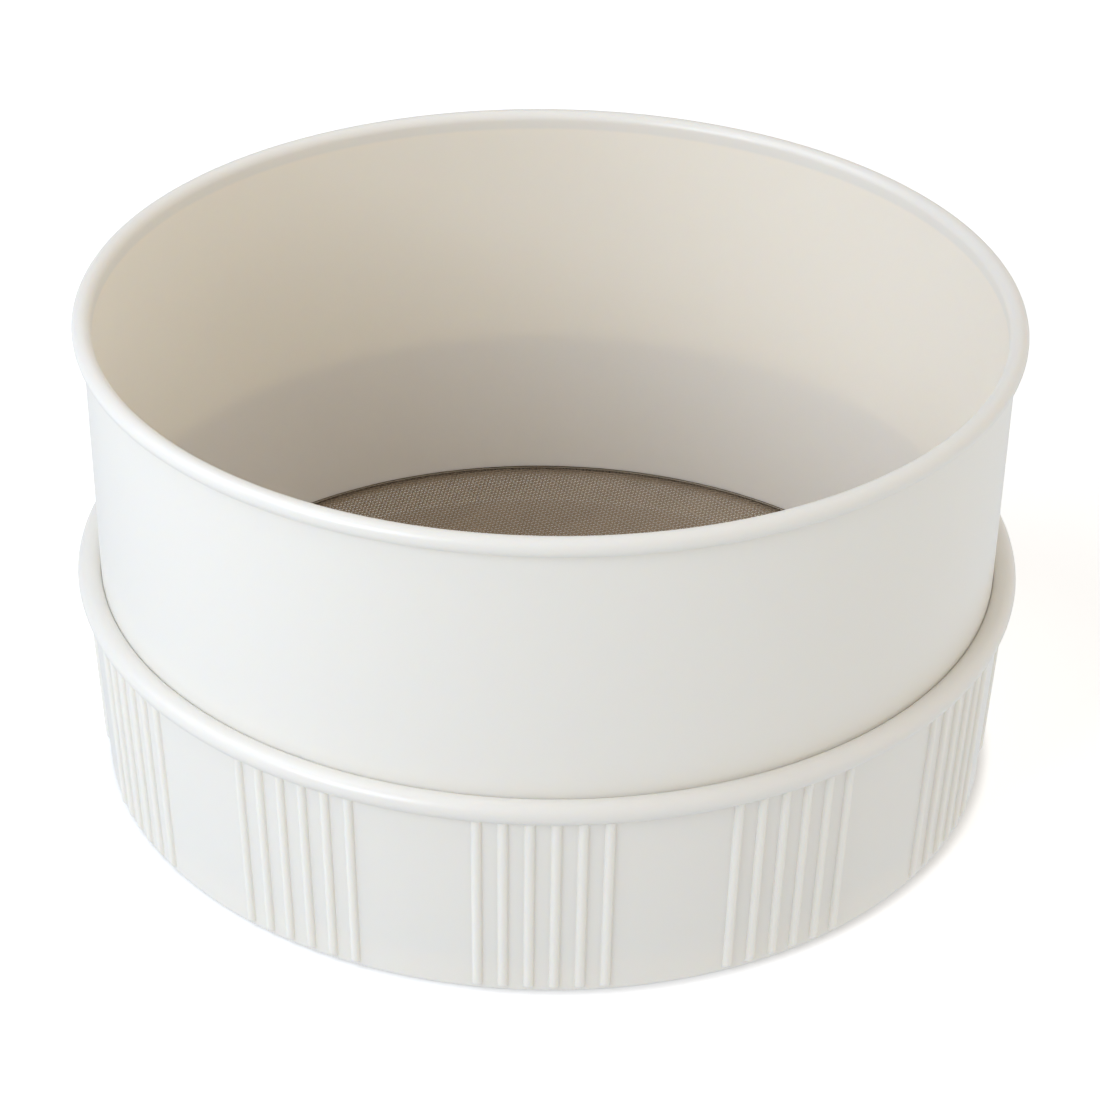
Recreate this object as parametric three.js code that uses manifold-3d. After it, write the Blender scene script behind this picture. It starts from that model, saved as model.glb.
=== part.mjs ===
// Two-ring drum sieve: a hopper ring pushed into a ribbed base ring, with a wire screen held between them.
// Millimetres, +Z up, base centre at the origin.
import * as THREE from 'three';
import { mergeVertices } from 'three/addons/utils/BufferGeometryUtils.js';
import Module from 'manifold-3d';

// Overall sizes
const RIM_DIAMETER = 250;
const TOTAL_HEIGHT = 133;

// Upper ring
const UPPER_BEAD_DIAMETER = 5;
const UPPER_WALL = 2.4;
const UPPER_DRAFT_DEGREES = 0.5;
const UPPER_EDGE_CHAMFER = 0.5;

// Lower ring
const LOWER_HEIGHT = 60;
const LOWER_BEAD_DIAMETER = 6;
const FOOT_STEP = 0.9;
const FOOT_WALL = 2;
const FOOT_CHAMFER = 0.6;

// Ledge inside the lower ring that carries the screen
const LEDGE_TOP = 10.3;
const LEDGE_THICKNESS = 2.4;

// Grip ribs on the lower ring
const RIB_GROUPS = 12;
const RIBS_PER_GROUP = 6;
const RIB_PITCH_DEGREES = 3;
const RIB_WIDTH = 2.5;
const RIB_PROUD = 1;
const RIB_FOOT = 1.2;

// Screen: a crimped hoop round the net, drawn as an open grid of wires
const HOOP_SHEET = 0.4;
const HOOP_WIDTH = 2.1;
const NET_THICKNESS = 0.8;
const NET_WIRE_WIDTH = 0.9;
const NET_PITCH = 13.5;
const NET_EDGE = 0.7;

// Clearances
const RING_GAP = 0.35;
const SEAT_GAP = 0.3;

// Facets
const TURN_STEPS = 120;
const BEAD_STEP_DEGREES = 30;
const RIB_SIDES = 8;

// Sizes that follow from the driving dimensions
const upperBeadRadius = UPPER_BEAD_DIAMETER / 2;
const lowerBeadRadius = LOWER_BEAD_DIAMETER / 2;
const netGrip = NET_THICKNESS + 2 * SEAT_GAP;
const hoopBottom = LEDGE_TOP + SEAT_GAP;
const hoopTop = hoopBottom + netGrip + 2 * HOOP_SHEET;
const netBottom = hoopBottom + HOOP_SHEET + SEAT_GAP;
const upperBottom = hoopTop + SEAT_GAP;

// Radii of the walls at a height
const upperBead = {
  r: RIM_DIAMETER / 2 - upperBeadRadius,
  z: TOTAL_HEIGHT - upperBeadRadius,
  radius: upperBeadRadius,
};
const upperDraft = Math.tan(THREE.MathUtils.degToRad(UPPER_DRAFT_DEGREES));
const upperInner = (z) => upperBead.r - upperBead.radius - (upperBead.z - z) * upperDraft;
const upperOuter = (z) => upperInner(z) + UPPER_WALL;
const bore = (z) => upperOuter(z) + RING_GAP;
const footOuter = bore(LEDGE_TOP) + FOOT_STEP;
const lowerBead = {
  r: bore(LOWER_HEIGHT - lowerBeadRadius) + lowerBeadRadius,
  z: LOWER_HEIGHT - lowerBeadRadius,
  radius: lowerBeadRadius,
};
const lowerTaper = (lowerBead.r - footOuter) / (lowerBead.z - lowerBead.radius);
const lowerOuter = (z) => footOuter + z * lowerTaper;
const ledgeInner = upperInner(upperBottom);
const hoopOuter = bore(hoopBottom) - RING_GAP;
const hoopInner = hoopOuter - HOOP_WIDTH;
const netRadius = hoopOuter - HOOP_SHEET - SEAT_GAP;

const wasm = await Module();
wasm.setup();

// Keep only positions and weld them, so that the mesh is closed.
function weld(geometry) {
  geometry.deleteAttribute('normal');
  geometry.deleteAttribute('uv');
  return mergeVertices(geometry);
}

function toSolid(geometry) {
  const welded = weld(geometry);
  return new wasm.Manifold(new wasm.Mesh({
    numProp: 3,
    vertProperties: new Float32Array(welded.attributes.position.array),
    triVerts: new Uint32Array(welded.index.array),
  }));
}

function toGeometry(solid) {
  const mesh = solid.getMesh();
  const geometry = new THREE.BufferGeometry();
  geometry.setAttribute('position', new THREE.BufferAttribute(mesh.vertProperties, 3));
  geometry.setIndex(new THREE.BufferAttribute(mesh.triVerts, 1));
  return geometry;
}

// Turn a closed outline of [radius, height] points about Z. The outline runs anticlockwise.
function turned(outline) {
  const points = [...outline, outline[0]].map(([r, z]) => new THREE.Vector2(r, z));
  return weld(new THREE.LatheGeometry(points, TURN_STEPS).rotateX(Math.PI / 2));
}

// Points on a bead's round section between two angles in degrees, measured from straight out.
function beadArc(bead, from, to) {
  const points = [];
  const steps = Math.round((to - from) / BEAD_STEP_DEGREES);
  for (let i = 0; i <= steps; i += 1) {
    const angle = THREE.MathUtils.degToRad(from + (to - from) * i / steps);
    points.push([bead.r + bead.radius * Math.cos(angle), bead.z + bead.radius * Math.sin(angle)]);
  }
  return points;
}

// Straight drafted wall under a bead that stands out from its outside; the inside runs flush.
function upperRing() {
  const wallTop = upperBead.z - upperBead.radius;
  const wallStep = upperOuter(wallTop) - upperBead.r;
  const underBead = THREE.MathUtils.radToDeg(Math.asin(wallStep / upperBead.radius)) - 90;
  return turned([
    [upperInner(upperBottom), upperBottom],
    [upperOuter(upperBottom) - UPPER_EDGE_CHAMFER, upperBottom],
    [upperOuter(upperBottom + UPPER_EDGE_CHAMFER), upperBottom + UPPER_EDGE_CHAMFER],
    ...beadArc(upperBead, underBead, 180),
  ]);
}

// One half-round rib lying on the lower ring's tapered outside, at an angle from the front.
function rib(degrees) {
  const radius = RIB_WIDTH / 2;
  const axisAtFoot = lowerOuter(RIB_FOOT) + RIB_PROUD - radius;
  const length = lowerBead.z - RIB_PROUD - RIB_FOOT;
  const geometry = new THREE.CylinderGeometry(radius, radius, length, RIB_SIDES);
  geometry.rotateX(Math.PI / 2);
  geometry.translate(0, 0, length / 2);
  geometry.rotateX(Math.atan(lowerTaper));
  geometry.translate(0, -axisAtFoot, RIB_FOOT);
  geometry.rotateZ(THREE.MathUtils.degToRad(degrees));
  return toSolid(geometry);
}

// Tapered wall under a bead, with the screen's ledge inside and groups of ribs outside.
function lowerRing() {
  const ledgeBottom = LEDGE_TOP - LEDGE_THICKNESS;
  const footInner = footOuter - FOOT_WALL;
  let solid = toSolid(turned([
    [footInner, 0],
    [footOuter - FOOT_CHAMFER, 0],
    [lowerOuter(FOOT_CHAMFER), FOOT_CHAMFER],
    ...beadArc(lowerBead, -90, 180),
    [bore(LEDGE_TOP), LEDGE_TOP],
    [ledgeInner, LEDGE_TOP],
    [ledgeInner, ledgeBottom],
    [footInner, ledgeBottom - (footInner - ledgeInner)],
  ]));
  for (let group = 0; group < RIB_GROUPS; group += 1) {
    for (let i = 0; i < RIBS_PER_GROUP; i += 1) {
      const offset = (i - (RIBS_PER_GROUP - 1) / 2) * RIB_PITCH_DEGREES;
      solid = solid.add(rib(group * 360 / RIB_GROUPS + offset));
    }
  }
  return toGeometry(solid);
}

// Sheet band crimped to a channel that is open towards the axis and holds the net's edge.
function meshHoop() {
  return turned([
    [hoopInner, hoopBottom],
    [hoopOuter, hoopBottom],
    [hoopOuter, hoopTop],
    [hoopInner, hoopTop],
    [hoopInner, hoopTop - HOOP_SHEET],
    [hoopOuter - HOOP_SHEET, hoopTop - HOOP_SHEET],
    [hoopOuter - HOOP_SHEET, hoopBottom + HOOP_SHEET],
    [hoopInner, hoopBottom + HOOP_SHEET],
  ]);
}

// Flat round plate between two heights.
function disc(radius, bottom, top) {
  const geometry = new THREE.CylinderGeometry(radius, radius, top - bottom, TURN_STEPS);
  geometry.rotateX(Math.PI / 2);
  geometry.translate(0, 0, (bottom + top) / 2);
  return toSolid(geometry);
}

// Flat grid of crossing wires inside an edge that stays in the hoop's channel.
function wireMesh() {
  const netTop = netBottom + NET_THICKNESS;
  const fieldRadius = netRadius - NET_EDGE;
  const hole = NET_PITCH - NET_WIRE_WIDTH;
  const perSide = Math.ceil(fieldRadius / NET_PITCH);
  const field = disc(fieldRadius, netBottom - SEAT_GAP, netTop + SEAT_GAP);
  let net = disc(netRadius, netBottom, netTop);
  for (let column = -perSide; column < perSide; column += 1) {
    for (let row = -perSide; row < perSide; row += 1) {
      const centre = new THREE.Vector2(column + 0.5, row + 0.5).multiplyScalar(NET_PITCH);
      const nearestCorner = Math.hypot(Math.abs(centre.x) - hole / 2, Math.abs(centre.y) - hole / 2);
      if (nearestCorner > fieldRadius - NET_WIRE_WIDTH) continue;
      const gap = new THREE.BoxGeometry(hole, hole, 2 * NET_THICKNESS);
      gap.translate(centre.x, centre.y, (netBottom + netTop) / 2);
      net = net.subtract(toSolid(gap).intersect(field));
    }
  }
  return toGeometry(net);
}

const cream = { color: 0xe6e4dc, roughness: 0.42, metalness: 0 };
const steel = { color: 0x8f8574, roughness: 0.38, metalness: 0.9 };

function piece(name, geometry, look) {
  const mesh = new THREE.Mesh(geometry, new THREE.MeshStandardMaterial(look));
  mesh.name = name;
  return mesh;
}

const sieve = new THREE.Group();
sieve.name = 'sieve';
sieve.add(
  piece('lower_ring', lowerRing(), cream),
  piece('wire_mesh', wireMesh(), steel),
  piece('mesh_hoop', meshHoop(), steel),
  piece('upper_ring', upperRing(), cream),
);

export default sieve;
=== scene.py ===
# Drum sieve in the studio: moulded hopper and base rings, and a woven wire screen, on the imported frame.
import math

import bpy
import numpy as np
from bpy.props import FloatProperty, FloatVectorProperty, IntProperty, PointerProperty
from mathutils import Matrix, Vector


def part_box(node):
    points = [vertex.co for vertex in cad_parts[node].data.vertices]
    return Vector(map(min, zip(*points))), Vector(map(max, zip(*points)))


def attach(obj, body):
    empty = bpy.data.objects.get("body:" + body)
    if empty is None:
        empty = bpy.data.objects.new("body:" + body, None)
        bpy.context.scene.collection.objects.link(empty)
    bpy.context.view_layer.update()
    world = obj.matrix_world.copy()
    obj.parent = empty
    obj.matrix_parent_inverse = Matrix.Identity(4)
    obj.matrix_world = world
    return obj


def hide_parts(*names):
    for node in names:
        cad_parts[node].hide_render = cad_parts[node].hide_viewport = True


bl_info = {
    "name": "Drum Sieve",
    "version": (1, 0, 0),
    "blender": (4, 5, 0),
    "location": "View3D > Sidebar > Sieve",
    "description": "Builds a two-ring drum sieve with a woven wire screen on a packed frame",
    "category": "Add Mesh",
}

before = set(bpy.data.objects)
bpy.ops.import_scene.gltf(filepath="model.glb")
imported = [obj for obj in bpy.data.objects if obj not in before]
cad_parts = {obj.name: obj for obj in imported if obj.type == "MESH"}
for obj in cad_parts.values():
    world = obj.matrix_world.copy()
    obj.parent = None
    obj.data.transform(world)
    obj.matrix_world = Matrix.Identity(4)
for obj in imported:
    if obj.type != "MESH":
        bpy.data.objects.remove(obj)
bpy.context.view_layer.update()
HOPPER_LOW, HOPPER_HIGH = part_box("upper_ring")
BASE_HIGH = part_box("lower_ring")[1]
HOOP_LOW, HOOP_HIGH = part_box("mesh_hoop")
NET_LOW, NET_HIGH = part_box("wire_mesh")

# Sections: small roundings and clearances in metres, and steps round the axis
SOFT_EDGE = 0.0003
FOOT_EDGE = 0.0004
LEDGE_ROOT = 0.0005
LIP_CLEAR = 0.0003
BEAD_FULLNESS = 1.15
BEAD_STEPS = 26
HOPPER_STEPS = 360
HOOP_STEPS = 240

# Weave: half diagonal of a wire's square section over its diameter, and its plain end over the pitch
WIRE_GIRTH = 0.55
WIRE_END = 0.3

# Plastic: noise in features to a metre, fades and depths in metres
CLOUD = 14
FLOW = 30
GRAIN = 1400
GRAIN_DEPTH = 0.00008
RIB_FADE = (0.0001, 0.0009)
INSIDE_FADE = (-0.0012, -0.0004)
CREASE_BLUR = 0.0006
LIGHT_SPREAD = (1.0, 0.85, 0.65)
HOPPER_LIGHT_DEPTH = 0.0042
BASE_LIGHT_DEPTH = 0.002

# Metal: noise in features to a metre, and the darker tone as a share of the paler one
WIRE_PATCH = 60
WIRE_STREAK = 150
WIRE_DARK = 0.84
HOOP_MARKS = 260
HOOP_MARK_DEPTH = 0.00006
HOOP_DARK = 0.82

# Studio: metres and linear colours
FLOOR_HALF = 25.0
FLOOR_DROP = 0.0002
LIGHT_AIM = Vector((0, 0, 0.07))
LAMP_TINT = (0.93, 1.0, 1.12)
BOUNCE_TINT = (0.96, 1.0, 1.05)
FILL_TINT = (1.05, 1.0, 0.94)
LAMPS = (
    ("key_light", "key", (-0.9, -0.9, 0.8), 0.9),
    ("side_light", "side", (-1.25, -0.1, 0.65), 0.9),
    ("top_light", "top", (-0.85, 0, 1.2), 0.8),
)


def length(name, description, default):
    """A length in metres that a user may change."""
    return FloatProperty(
        name=name, description=description, default=default, min=0, unit="LENGTH", precision=5)


def angle(name, description, degrees):
    """An angle that a user may change."""
    return FloatProperty(name=name, description=description, default=math.radians(degrees), subtype="ANGLE")


def colour(name, description, default):
    """A linear colour that a user may change."""
    return FloatVectorProperty(
        name=name, description=description, default=default, size=3, min=0, max=1, subtype="COLOR")


def number(name, description, default):
    """A count that a user may change."""
    return IntProperty(name=name, description=description, default=default, min=1)


def level(name, description, default):
    """A strength of light that a user may change."""
    return FloatProperty(name=name, description=description, default=default, min=0)


def power(name, description, default):
    """A lamp's power that a user may change."""
    return FloatProperty(name=name, description=description, default=default, min=0, subtype="POWER")


class SieveHopper(bpy.types.PropertyGroup):
    """Sizes of the upper ring"""
    rim_radius: length("Rim radius", "Outside of the rim bead", HOPPER_HIGH.x)
    top: length("Top", "Height of the rim above the foot", HOPPER_HIGH.z)
    foot: length("Foot", "Height of the ring's lower edge", HOPPER_LOW.z)
    bead: length("Bead", "Diameter of the round rim bead", 0.005)
    wall: length("Wall", "Thickness of the wall", 0.0024)
    draft: angle("Draft", "Lean of the wall towards the foot", 0.5)
    fillet: length("Fillet", "Hollow under the bead", 0.0007)
    edge_round: length("Edge round", "Rounding of the lower edges", 0.0005)


class SieveBase(bpy.types.PropertyGroup):
    """Sizes of the lower ring"""
    bead_radius: length("Bead radius", "Outside of the mouth bead", BASE_HIGH.x)
    top: length("Top", "Height of the mouth", BASE_HIGH.z)
    bead: length("Bead", "Diameter of the round mouth bead", 0.006)
    fillet: length("Fillet", "Hollow under the bead", 0.0007)
    fit_gap: length("Fit gap", "Gap round the upper ring", 0.00004)
    foot_radius: length("Foot radius", "Outside of the foot", 0.1226)
    foot_wall: length("Foot wall", "Width of the foot", 0.002)
    foot_round: length("Foot round", "Rounding of the foot's outer edge", 0.0009)
    ledge_top: length("Ledge top", "Height of the ledge that carries the screen", 0.0103)
    ledge: length("Ledge", "Thickness of the ledge", 0.0024)
    rib_groups: number("Rib groups", "Groups of grip ribs round the wall", 12)
    ribs: number("Ribs", "Ribs in a group", 6)
    rib_pitch: angle("Rib pitch", "Turn from one rib to the next", 3)
    rib_width: length("Rib width", "Width of a rib", 0.0026)
    rib_proud: length("Rib height", "Height of a rib above the wall", 0.0011)
    rib_foot: length("Rib foot", "Height of the ribs' lower ends", 0.0012)


class SieveScreen(bpy.types.PropertyGroup):
    """Sizes of the wire screen"""
    pitch: length("Pitch", "Distance from wire to wire", 0.00105)
    wire: length("Wire", "Diameter of the wire", 0.0004)
    crimp: FloatProperty(
        name="Crimp", description="Share of the weave's wave that the warp takes",
        default=0.25, min=0, max=1, subtype="FACTOR")
    turn: angle("Turn", "Turn of the weave about the axis", -8)
    sheet: length("Hoop sheet", "Thickness of the hoop's sheet", 0.0004)


class SieveFinish(bpy.types.PropertyGroup):
    """Colours of the pieces"""
    wall: colour("Wall", "Off-white of the thin walls outside", (0.894, 0.869, 0.808))
    # The rib tone is a painted highlight: the ribs, where the plastic is thicker, are brightened for the
    # light they catch.
    rib: colour("Rib", "Paler tone of the ribs, where the plastic is thicker", (0.940, 0.904, 0.832))
    # The bead tone is painted shade: it is darker than the wall to tone down the light the bead tops catch
    # from above.
    bead: colour("Bead", "Cream of the round beads", (0.860, 0.840, 0.790))
    # The inside tone is painted warm light: it stands in for light that passes through the wall and bounces
    # about inside.
    inside: colour("Inside", "Cream of the walls inside", (0.950, 0.885, 0.794))
    # The wire tint is painted shade and painted reflection: its brown stands in for the shade inside the
    # drum and the cream walls the steel reflects.
    wire: colour("Wire", "Stainless wire", (0.405, 0.311, 0.216))
    hoop: colour("Hoop", "Crimped steel band", (0.50, 0.43, 0.34))
    floor: colour("Floor", "Pale floor", (0.93, 0.93, 0.93))


class SieveStage(bpy.types.PropertyGroup):
    """Camera and light"""
    camera_back: length("Camera back", "Distance of the camera from the axis", 0.7280)
    camera_height: length("Camera height", "Height of the camera above the floor", 0.4994)
    camera_pitch: angle("Camera pitch", "Tilt of the camera below the horizon", 31.41)
    camera_yaw: angle("Camera yaw", "Turn of the camera to the right", 0.05)
    camera_roll: angle("Camera roll", "Lean of the camera", 0.83)
    lens: FloatProperty(
        name="Lens", description="Focal length on a 36 mm sensor", default=101.22, unit="CAMERA")
    bounce: level("Bounce", "Even light from below", 0.73)
    fill: level("Fill", "Even light from the upper right", 0.96)
    key: power("Key", "Soft light at the front left", 8.7)
    side: power("Side", "Soft light on the left", 3.3)
    top: power("Top", "Soft light high on the left", 4.2)
    glow: level("Floor glow", "Light of the floor itself", 0.44)


class Value:
    """A shader socket that takes part in Python expressions: each operator adds a Math node."""

    def __init__(self, graph, socket):
        self.graph = graph
        self.socket = socket

    def math(self, operation, *terms):
        return self.graph.node("ShaderNodeMath", {"operation": operation}, *terms)

    def __add__(self, other):
        return self.math("ADD", self, other)

    def __sub__(self, other):
        return self.math("SUBTRACT", self, other)

    def __rsub__(self, other):
        return self.math("SUBTRACT", other, self)

    def __mul__(self, other):
        return self.math("MULTIPLY", self, other)

    def __pow__(self, other):
        return self.math("POWER", self, other)

    __radd__ = __add__
    __rmul__ = __mul__


class Graph:
    """The node tree of a new material or world, and the shader at its end."""

    def __init__(self, owner, shader="Principled BSDF"):
        owner.use_nodes = True
        self.owner = owner
        self.tree = owner.node_tree
        self.shader = self.tree.nodes[shader]

    def node(self, kind, settings=None, *terms, output=None, **named):
        """Adds a node, sets it up, fills its sockets in order and by name, and gives one output."""
        node = self.tree.nodes.new(kind)
        for key, value in (settings or {}).items():
            setattr(node, key, value)
        sockets = [s for s in node.inputs if s.enabled]
        by_name = {s.name: s for s in sockets}
        pairs = list(zip(sockets, terms))
        pairs += [(by_name[key.replace("_", " ")], value) for key, value in named.items()]
        for socket, value in pairs:
            self.fill(socket, value)
        outputs = [s for s in node.outputs if s.enabled]
        chosen = outputs[0] if output is None else next(s for s in outputs if s.name == output)
        return Value(self, chosen)

    def fill(self, socket, value):
        """Links a value to a socket, or sets a plain one."""
        if isinstance(value, Value):
            self.tree.links.new(value.socket, socket)
        else:
            socket.default_value = value

    def set(self, **named):
        """Fills the shader's sockets."""
        for key, value in named.items():
            self.fill(self.shader.inputs[key.replace("_", " ")], value)

    def place(self, kind="Object"):
        """The shaded point, in the part's frame unless another kind is named."""
        return self.node("ShaderNodeTexCoord", None, output=kind)

    def axes(self, names, kind="Object"):
        """Single coordinates of the shaded point."""
        spot = self.place(kind)
        return [self.node("ShaderNodeSeparateXYZ", None, spot, output=name) for name in names]

    def noise(self, scale, detail, longer=(1, 1, 1), turn=0):
        """Noise in the part's frame: features in a metre, made longer along axes turned about Z."""
        settings = {"vector_type": "TEXTURE"}
        spot = self.node("ShaderNodeMapping", settings, self.place(), Rotation=(0, 0, turn), Scale=longer)
        return self.node("ShaderNodeTexNoise", None, Vector=spot, Scale=scale, Detail=detail)

    def fade(self, value, start, end):
        """0 at start, 1 at end, smooth between."""
        return self.node("ShaderNodeMapRange", {"interpolation_type": "SMOOTHSTEP"}, value, start, end)

    def mix(self, factor, first, second):
        """One colour at factor 0, the other at 1."""
        return self.node("ShaderNodeMix", {"data_type": "RGBA"}, factor, rgba(first), rgba(second))

    def bump(self, height, strength, distance):
        return self.node("ShaderNodeBump", None, Strength=strength, Distance=distance, Height=height)


def rgba(value):
    """A plain colour with full alpha, or the socket as it is."""
    return value if isinstance(value, Value) else (*value, 1.0)


def arc(centre, radius, start, end, steps):
    """Points on an arc of a section, angles in degrees from straight out."""
    turns = np.radians(np.linspace(start, end, steps + 1))
    return [(centre[0] + radius * math.cos(t), centre[1] + radius * math.sin(t)) for t in turns]


def corner(before, at, after, radius, steps=4):
    """A corner of a section rounded with an arc."""
    before, at, after = (Vector(p) for p in (before, at, after))
    one, two = (before - at).normalized(), (after - at).normalized()
    half = one.angle(two) / 2
    reach = radius / math.tan(half)
    centre = at + (one + two).normalized() * (radius / math.sin(half))
    first, last = at + one * reach - centre, at + two * reach - centre
    turn = first.angle_signed(last)
    return [tuple(centre + Matrix.Rotation(-turn * i / steps, 2) @ first) for i in range(steps + 1)]


def filleted_bead(centre, radius, wall, fillet, end, steps):
    """The hollow that leads from an upright wall into a round bead, and the bead up to an angle."""
    across = wall + fillet - centre[0]
    hollow = (wall + fillet, centre[1] - math.sqrt((radius + fillet) ** 2 - across ** 2))
    lean = math.degrees(math.atan2(centre[1] - hollow[1], centre[0] - hollow[0]))
    return arc(hollow, fillet, 180, lean, 4)[:-1] + arc(centre, radius, lean - 180, end, steps)


def closed_section(points, hold, step):
    """A closed section with extra points along its long runs, close to their ends and every step."""
    rows = []
    for here, there in zip(points, points[1:] + points[:1]):
        a, b = np.array(here), np.array(there)
        run = np.linalg.norm(b - a)
        rows.append(a)
        if run > 4 * hold:
            marks = np.linspace(hold, run - hold, max(2, round(run / step) + 1))
            rows.extend(a + (b - a) * m / run for m in marks)
    return np.array(rows)


def turned_piece(name, radii, heights, turns):
    """A closed ring from a grid of radii and heights, rows along the section and columns round the axis."""
    rows, columns = radii.shape
    points = np.stack([radii * np.sin(turns), -radii * np.cos(turns), heights], axis=-1)
    index = np.arange(rows * columns).reshape(rows, columns)
    up, round_ = np.roll(index, -1, axis=0), np.roll(index, -1, axis=1)
    quads = np.stack([index, round_, np.roll(up, -1, axis=1), up], axis=-1)
    return smooth_piece(name, points.reshape(-1, 3), quads.reshape(-1, 4))


def full_turn(steps):
    """Even turns once round the axis."""
    return np.linspace(0, 2 * math.pi, steps + 1)[:-1]


def spread(section, turns):
    """A section's radii and heights, each as a grid with a column for every turn."""
    return [np.repeat(column[:, None], len(turns), axis=1) for column in section.T]


def smooth_piece(name, points, faces):
    """A smooth-shaded object from points and faces."""
    mesh = bpy.data.meshes.new(name)
    mesh.from_pydata(points.tolist(), [], faces.tolist())
    mesh.polygons.foreach_set("use_smooth", np.ones(len(faces), dtype=bool))
    mesh.update()
    piece = bpy.data.objects.new(name, mesh)
    bpy.context.scene.collection.objects.link(piece)
    return piece


def dress(piece, material, body, node):
    """Gives a piece its material and its place in the frame."""
    piece.data.materials.append(material)
    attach(piece, body)
    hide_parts(node)


def hopper_wall(hopper, z):
    """Inside and outside radius of the upper ring's wall at a height."""
    inside = hopper.rim_radius - hopper.bead - (hopper.top - hopper.bead / 2 - z) * math.tan(hopper.draft)
    return inside, inside + hopper.wall


def moulded_plastic(name, finish, outer, lean, crease, depth):
    """Off-white satin plastic: cloudy, with a painted highlight in the paler ribs, painted shade in the
    darker beads, painted warm light in the cream inside, and light enters it.
    """
    graph = Graph(bpy.data.materials.new(name))
    x, y, z = graph.axes("XYZ")
    proud = (x * x + y * y) ** 0.5 - z * lean - outer
    cloud = graph.noise(CLOUD, 3)
    flow = graph.noise(FLOW, 4, (1, 1, 4))
    grain = graph.noise(GRAIN, 2)
    uneven = cloud - 0.5
    # Painted highlight: the ribs take the paler rib tone where the plastic stands proud of the wall.
    pale = graph.fade(proud + uneven * 0.0002, *RIB_FADE)
    # Painted warm light: the walls inside take the warmer inside tone, with the cloud's uneven tone.
    cream = 1 - graph.fade(proud, *INSIDE_FADE) + uneven * 0.1
    # Painted shade: the beads above the crease take the darker bead tone.
    above = graph.fade(z, crease - CREASE_BLUR, crease + CREASE_BLUR)
    skin = graph.mix(cream, graph.mix(pale, finish.wall, finish.rib), finish.inside)
    skin = graph.mix(above, skin, finish.bead)
    graph.set(Base_Color=skin, Roughness=0.26 + flow * 0.10)
    graph.set(Normal=graph.bump(grain + cloud * 6, 0.12, GRAIN_DEPTH))
    graph.set(Subsurface_Weight=0.5, Subsurface_Radius=LIGHT_SPREAD, Subsurface_Scale=depth)
    graph.set(IOR=1.49, Specular_IOR_Level=0.5, Coat_Weight=0.15, Coat_Roughness=0.14)
    return graph.owner


def drawn_wire(name, tint):
    """Drawn stainless wire, browner and darker as painted shade and a painted reflection of the cream
    walls, uneven in tone, with faint darker streaks of painted shade across the weave.
    """
    graph = Graph(bpy.data.materials.new(name))
    patch = graph.noise(WIRE_PATCH, 2)
    streak = graph.noise(WIRE_STREAK, 2, (12, 1, 1), math.radians(45))
    # Random patches of tone, and diagonal streaks of painted shade across the weave.
    tone_and_streak_shade = patch * 0.5 + graph.fade(streak, 0.3, 0.7) * 0.5
    shade = graph.mix(tone_and_streak_shade, tint, [c * WIRE_DARK for c in tint])
    graph.set(Base_Color=shade, Roughness=0.50 + patch * 0.16, Metallic=0.35)
    return graph.owner


def crimped_steel(name, tint):
    """Rolled sheet with fine marks round the band."""
    graph = Graph(bpy.data.materials.new(name))
    marks = graph.noise(HOOP_MARKS, 4, (8, 8, 0.11))
    shade = graph.mix(marks, tint, [c * HOOP_DARK for c in tint])
    graph.set(Base_Color=shade, Roughness=0.28 + marks * 0.18, Metallic=1.0)
    graph.set(Normal=graph.bump(marks, 0.2, HOOP_MARK_DEPTH))
    return graph.owner


class SIEVE_OT_hopper(bpy.types.Operator):
    """Build the upper ring with its round rim bead"""
    bl_idname = "sieve.hopper"
    bl_label = "Hopper ring"

    def execute(self, context):
        scene = context.scene
        hopper = scene.sieve_hopper
        bead = hopper.bead / 2
        centre = (hopper.rim_radius - bead, hopper.top - bead)
        foot_in, foot_out = hopper_wall(hopper, hopper.foot)
        top_out = hopper_wall(hopper, hopper.top - hopper.bead)[1]
        inner, edge = (foot_in, hopper.foot), (foot_out, hopper.foot)
        rim = filleted_bead(centre, bead, top_out, hopper.fillet, 180, BEAD_STEPS)
        points = corner(rim[-1], inner, edge, hopper.edge_round)
        points += corner(inner, edge, rim[0], hopper.edge_round) + rim
        section = closed_section(points, hold=0.0006, step=0.007)
        turns = full_turn(HOPPER_STEPS)
        piece = turned_piece("hopper_ring", *spread(section, turns), turns)
        outer = hopper_wall(hopper, 0)[1]
        lean = math.tan(hopper.draft)
        crease = hopper.top - hopper.bead
        finish = scene.sieve_finish
        plastic = moulded_plastic("hopper_plastic", finish, outer, lean, crease, HOPPER_LIGHT_DEPTH)
        dress(piece, plastic, "hopper", "upper_ring")
        return {"FINISHED"}


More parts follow.
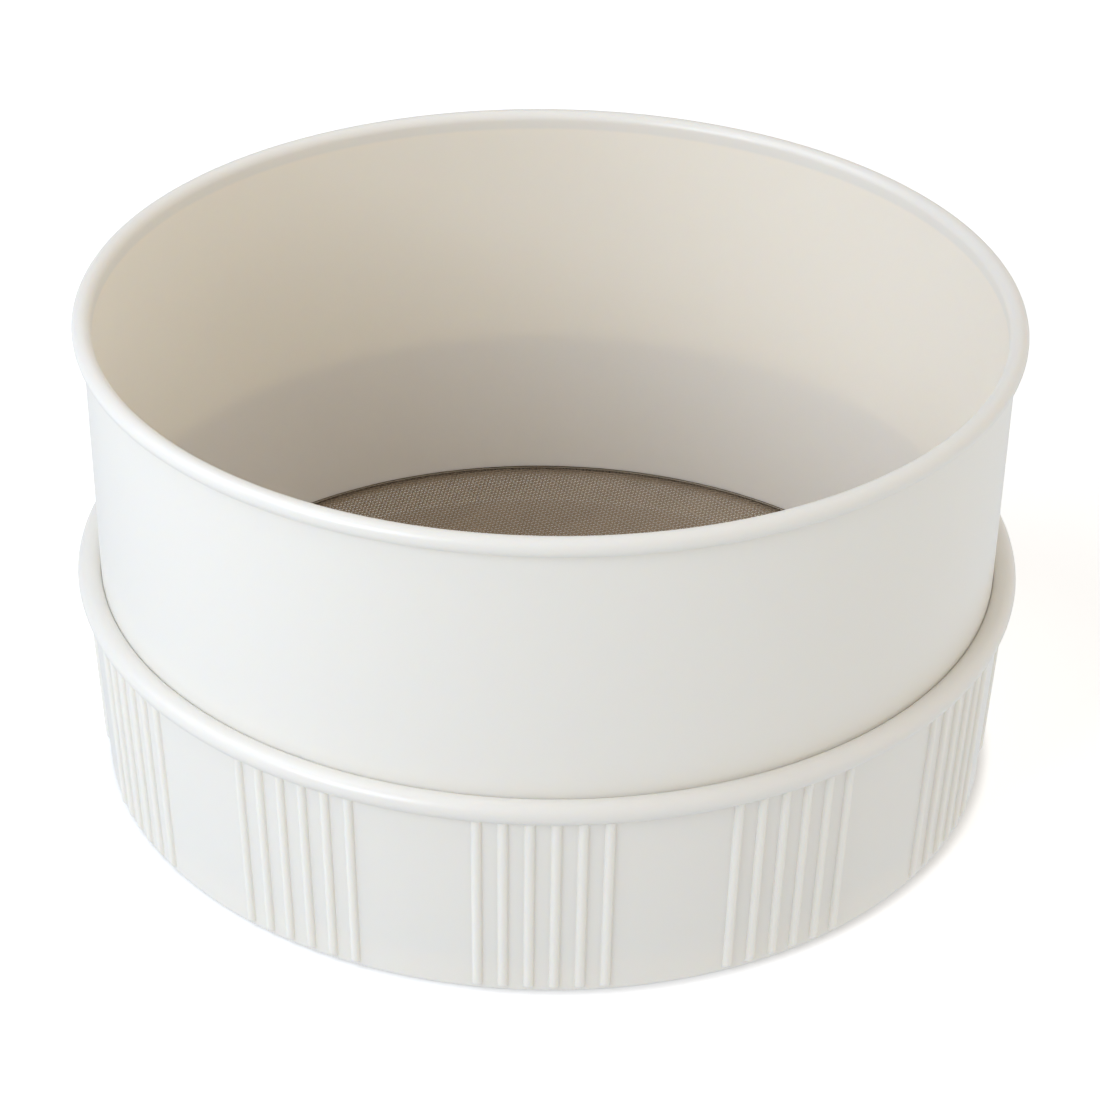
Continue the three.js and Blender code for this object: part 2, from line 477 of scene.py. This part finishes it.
class SIEVE_OT_base(bpy.types.Operator):
    """Build the lower ring with its bead, ledge and groups of grip ribs"""
    bl_idname = "sieve.base"
    bl_label = "Base ring"

    def section(self, hopper, base):
        """The ring's section without ribs, from the foot's inner edge, and its wall's lean."""
        bead = base.bead / 2
        middle = base.bead_radius - bead
        height = base.top - bead

        def bore(z):
            return hopper_wall(hopper, z)[1] + base.fit_gap

        def snug(r, z):
            """Draws the bead's inner half out until it meets the upper ring's wall."""
            return (r if r > middle else max(bore(z), middle - (middle - r) * fuller)), z

        foot_in = base.foot_radius - base.foot_wall
        ledge_in = hopper_wall(hopper, hopper.foot)[0]
        ledge_low = base.ledge_top - base.ledge
        inner, outer = (foot_in, 0), (base.foot_radius, 0)
        seat, lip = (bore(base.ledge_top), base.ledge_top), (ledge_in, base.ledge_top)
        under, root = (ledge_in, ledge_low), (foot_in, ledge_low - (foot_in - ledge_in))
        fuller = BEAD_FULLNESS * (middle - bore(height)) / bead
        rim = filleted_bead((middle, height), bead, middle, base.fillet, 180, BEAD_STEPS)
        rim = [snug(r, z) for r, z in rim]
        lean = (rim[0][0] - base.foot_radius) / rim[0][1]
        ends = [base.rib_foot + base.rib_proud * t for t in (0, 0.08, 0.3, 0.6, 1)]
        points = corner(root, inner, outer, FOOT_EDGE) + corner(inner, outer, rim[0], base.foot_round)
        points += [(base.foot_radius + lean * z, z) for z in ends] + rim
        points += corner(rim[-1], seat, lip, SOFT_EDGE) + corner(seat, lip, under, SOFT_EDGE)
        points += corner(lip, under, root, FOOT_EDGE) + corner(under, root, inner, LEDGE_ROOT)
        return closed_section(points, hold=0.0005, step=0.02), lean

    def columns(self, base):
        """Turns of the grid's columns: close together across each rib, wider between groups."""
        half = math.asin(base.rib_width / 2 / base.foot_radius)
        across = np.sin(np.radians(np.linspace(-90, 90, 11)))
        across = np.concatenate([[-1.5, -1.08], across, [1.08, 1.5]]) * half
        group = 2 * math.pi / base.rib_groups
        first = -(base.ribs - 1) / 2 * base.rib_pitch
        plain = group - (base.ribs - 1) * base.rib_pitch
        between = np.linspace(2.6 * half, plain - 2.6 * half, 8) - first
        turns = []
        for g in range(base.rib_groups):
            for i in range(base.ribs):
                turns.extend(g * group + first + i * base.rib_pitch + across)
            turns.extend(g * group + between)
        return np.array(turns)

    def rib_height(self, base, turns, heights):
        """How far the ribs stand out of the wall over the grid."""
        group = 2 * math.pi / base.rib_groups
        first = -(base.ribs - 1) / 2 * base.rib_pitch
        local = (turns + group / 2) % group - group / 2
        nearest = np.clip(np.round((local - first) / base.rib_pitch), 0, base.ribs - 1)
        side = (local - first - nearest * base.rib_pitch) * base.foot_radius
        half, proud = base.rib_width / 2, base.rib_proud
        curve = (half ** 2 + proud ** 2) / (2 * proud)
        lift = np.sqrt(np.clip(curve ** 2 - side ** 2, 0, None)) - (curve - proud)
        end = np.clip((heights - base.rib_foot) / proud, 0, 1)
        return np.clip(lift, 0, None) * np.sqrt(1 - (1 - end) ** 2)

    def execute(self, context):
        scene = context.scene
        hopper, base = scene.sieve_hopper, scene.sieve_base
        section, lean = self.section(hopper, base)
        turns = self.columns(base)
        radii, heights = spread(section, turns)
        wall = base.foot_radius + heights * lean
        lift = self.rib_height(base, turns, heights)
        outside = (radii > wall - 0.0005) & (heights < base.top - base.bead / 2)
        ribbed = np.where(outside, np.maximum(radii, wall + lift), radii)
        piece = turned_piece("base_ring", ribbed, heights, turns)
        crease = base.top - base.bead
        outer = base.foot_radius
        finish = scene.sieve_finish
        plastic = moulded_plastic("base_plastic", finish, outer, lean, crease, BASE_LIGHT_DEPTH)
        dress(piece, plastic, "base", "lower_ring")
        return {"FINISHED"}


class SIEVE_OT_screen(bpy.types.Operator):
    """Weave the wire screen"""
    bl_idname = "sieve.screen"
    bl_label = "Wire screen"

    def wires(self, screen, rank, crosswise, reach, middle):
        """Points and faces of the wires of one set, over and under the other set."""
        wave = screen.wire * (1 - screen.crimp if crosswise else screen.crimp)
        ring = np.radians([45, 135, 225, 315])
        girth = screen.wire * WIRE_GIRTH
        across_offset, lift_offset = np.cos(ring) * girth, np.sin(ring) * girth
        points, faces, count = [], [], 0
        for j in rank:
            aside = (j + 0.5) * screen.pitch
            half = math.sqrt(reach ** 2 - aside ** 2)
            last = math.floor(half / screen.pitch - 0.5 - WIRE_END)
            k = np.arange(-last - 1, last + 1)
            along = np.concatenate([[-half], (k + 0.5) * screen.pitch, [half]])
            over = np.where((j + k + crosswise) % 2 == 0, wave, -wave)
            lift = np.concatenate([[0], over, [0]])
            steps = len(along)
            grid = np.zeros((steps, 4, 3))
            grid[:, :, 0] = along[:, None]
            grid[:, :, 1] = aside + across_offset
            grid[:, :, 2] = middle + lift[:, None] + lift_offset
            points.append(grid.reshape(-1, 3))
            index = count + np.arange(steps * 4).reshape(steps, 4)
            side = np.roll(index, -1, axis=1)
            faces.append(np.stack([index[:-1], index[1:], side[1:], side[:-1]], axis=-1).reshape(-1, 4))
            faces.append(np.array([index[0], index[-1][::-1]]))
            count += steps * 4
        points, faces = np.concatenate(points), np.concatenate(faces)
        turn = screen.turn + crosswise * math.pi / 2
        spin = np.array(Matrix.Rotation(turn, 3, "Z"))
        return points @ spin.T, faces

    def execute(self, context):
        scene = context.scene
        screen = scene.sieve_screen
        middle = (NET_LOW.z + NET_HIGH.z) / 2
        reach = NET_HIGH.x - screen.wire / 2
        edge = math.floor(reach / screen.pitch - 1.5)
        steel = drawn_wire("screen_wire", scene.sieve_finish.wire)
        for crosswise, family in enumerate(("warp", "weft")):
            halves = (range(-edge - 1, 0), range(0, edge + 1))
            for half, rank in zip(("a", "b"), halves):
                points, faces = self.wires(screen, rank, crosswise, reach, middle)
                piece = smooth_piece(f"screen_{family}_{half}", points, faces)
                dress(piece, steel, "screen", "wire_mesh")
        return {"FINISHED"}


class SIEVE_OT_hoop(bpy.types.Operator):
    """Build the crimped hoop that binds the screen's edge"""
    bl_idname = "sieve.hoop"
    bl_label = "Screen hoop"

    def execute(self, context):
        scene = context.scene
        sheet = scene.sieve_screen.sheet
        out, low, high = HOOP_HIGH.x, HOOP_LOW.z, HOOP_HIGH.z
        lip = hopper_wall(scene.sieve_hopper, scene.sieve_hopper.foot)[0] + LIP_CLEAR
        skin = sheet * 0.45
        marks = [(lip, low), (out, low), (out, high), (lip, high), (lip, high - sheet)]
        marks += [(out - sheet, high - sheet), (out - sheet, low + sheet), (lip, low + sheet)]
        rounds = [skin, sheet, sheet, skin, skin, skin, skin, skin]
        points = []
        for i, mark in enumerate(marks):
            points += corner(marks[i - 1], mark, marks[(i + 1) % len(marks)], rounds[i])
        section = closed_section(points, hold=0.0002, step=0.0006)
        turns = full_turn(HOOP_STEPS)
        piece = turned_piece("screen_hoop", *spread(section, turns), turns)
        steel = crimped_steel("hoop_steel", scene.sieve_finish.hoop)
        dress(piece, steel, "screen", "mesh_hoop")
        return {"FINISHED"}


class SIEVE_OT_stage(bpy.types.Operator):
    """Set the floor, the soft lights and the camera"""
    bl_idname = "sieve.stage"
    bl_label = "Studio"

    def floor(self, scene):
        """A pale floor with a faint light of its own, left out under the sieve as a painted shadow."""
        corners = np.array([(-1, -1, 0), (1, -1, 0), (1, 1, 0), (-1, 1, 0)]) * FLOOR_HALF
        corners[:, 2] = -FLOOR_DROP
        piece = smooth_piece("studio_floor", corners, np.array([[0, 1, 2, 3]]))
        graph = Graph(bpy.data.materials.new("floor_paint"))
        graph.set(Base_Color=(*scene.sieve_finish.floor, 1.0), Roughness=0.9, Specular_IOR_Level=0.1)
        x, y = graph.axes("XY")
        # Painted shadow: no glow under the sieve, fading in towards the edge of the base ring.
        outside_painted_shadow = graph.fade((x * x + y * y) ** 0.5, 0.95 * BASE_HIGH.x, 0.99 * BASE_HIGH.x)
        light = graph.mix(outside_painted_shadow, (0, 0, 0), (1, 1, 1))
        graph.set(Emission_Color=light, Emission_Strength=scene.sieve_stage.glow)
        piece.data.materials.append(graph.owner)
        piece.visible_diffuse = False
        piece.visible_shadow = False
        piece.visible_glossy = False

    def sky(self, scene, stage):
        """Even light from below and from the upper right; the lamps stand on the dark upper left."""
        graph = Graph(bpy.data.worlds.new("studio_sky"), "Background")
        x, z = graph.axes("XZ", "Generated")
        upper = graph.fade(z, -0.1, 0.1)
        strength = (1 - upper) * stage.bounce + upper * (x + 1) * (stage.fill / 2)
        graph.set(Color=graph.mix(upper, BOUNCE_TINT, FILL_TINT), Strength=strength)
        scene.world = graph.owner

    def lamp(self, name, place, size, strength):
        """A round soft light that faces the sieve."""
        light = bpy.data.lights.new(name, "AREA")
        light.shape = "DISK"
        light.size = size
        light.energy = strength
        light.color = LAMP_TINT
        lamp = bpy.data.objects.new(name, light)
        lamp.location = place
        lamp.rotation_euler = (LIGHT_AIM - lamp.location).to_track_quat("-Z", "Y").to_euler()
        bpy.context.scene.collection.objects.link(lamp)

    def camera(self, scene, stage):
        """A camera in front of the sieve that looks down into it."""
        lens = bpy.data.cameras.new("studio_camera")
        lens.sensor_width = 36
        lens.lens = stage.lens
        lens.clip_start = 0.01
        lens.clip_end = 60
        camera = bpy.data.objects.new("studio_camera", lens)
        tilt = Matrix.Rotation(math.pi / 2 - stage.camera_pitch, 4, "X")
        turn = Matrix.Rotation(-stage.camera_yaw, 4, "Y")
        roll = Matrix.Rotation(stage.camera_roll, 4, "Z")
        spot = Matrix.Translation((0, -stage.camera_back, stage.camera_height))
        camera.matrix_world = spot @ tilt @ turn @ roll
        scene.collection.objects.link(camera)
        scene.camera = camera

    def execute(self, context):
        scene = context.scene
        stage = scene.sieve_stage
        self.floor(scene)
        self.sky(scene, stage)
        for name, setting, place, size in LAMPS:
            self.lamp(name, place, size, getattr(stage, setting))
        self.camera(scene, stage)
        scene.view_settings.view_transform = "Standard"
        return {"FINISHED"}


class SIEVE_PT_panel(bpy.types.Panel):
    """Lists the pieces of the sieve"""
    bl_idname = "SIEVE_PT_panel"
    bl_label = "Drum Sieve"
    bl_space_type = "VIEW_3D"
    bl_region_type = "UI"
    bl_category = "Sieve"

    def draw(self, context):
        for settings, operators in PANEL_ROWS:
            box = self.layout.box()
            group = getattr(context.scene, settings)
            for key in group.__annotations__:
                box.prop(group, key)
            for operator in operators:
                box.operator(operator.bl_idname)


GROUPS = {
    "sieve_hopper": SieveHopper,
    "sieve_base": SieveBase,
    "sieve_screen": SieveScreen,
    "sieve_finish": SieveFinish,
    "sieve_stage": SieveStage,
}
OPERATORS = (SIEVE_OT_base, SIEVE_OT_screen, SIEVE_OT_hoop, SIEVE_OT_hopper, SIEVE_OT_stage)
PANEL_ROWS = (
    ("sieve_hopper", (SIEVE_OT_hopper,)),
    ("sieve_base", (SIEVE_OT_base,)),
    ("sieve_screen", (SIEVE_OT_screen, SIEVE_OT_hoop)),
    ("sieve_finish", ()),
    ("sieve_stage", (SIEVE_OT_stage,)),
)


def register():
    for cls in (*GROUPS.values(), *OPERATORS, SIEVE_PT_panel):
        bpy.utils.register_class(cls)
    for name, cls in GROUPS.items():
        setattr(bpy.types.Scene, name, PointerProperty(type=cls))


def unregister():
    for name in GROUPS:
        delattr(bpy.types.Scene, name)
    for cls in reversed((*GROUPS.values(), *OPERATORS, SIEVE_PT_panel)):
        bpy.utils.unregister_class(cls)


def main():
    """Builds the pieces and the stage."""
    register()
    bpy.ops.sieve.base()
    bpy.ops.sieve.screen()
    bpy.ops.sieve.hoop()
    bpy.ops.sieve.hopper()
    bpy.ops.sieve.stage()


if __name__ == "__main__":
    main()
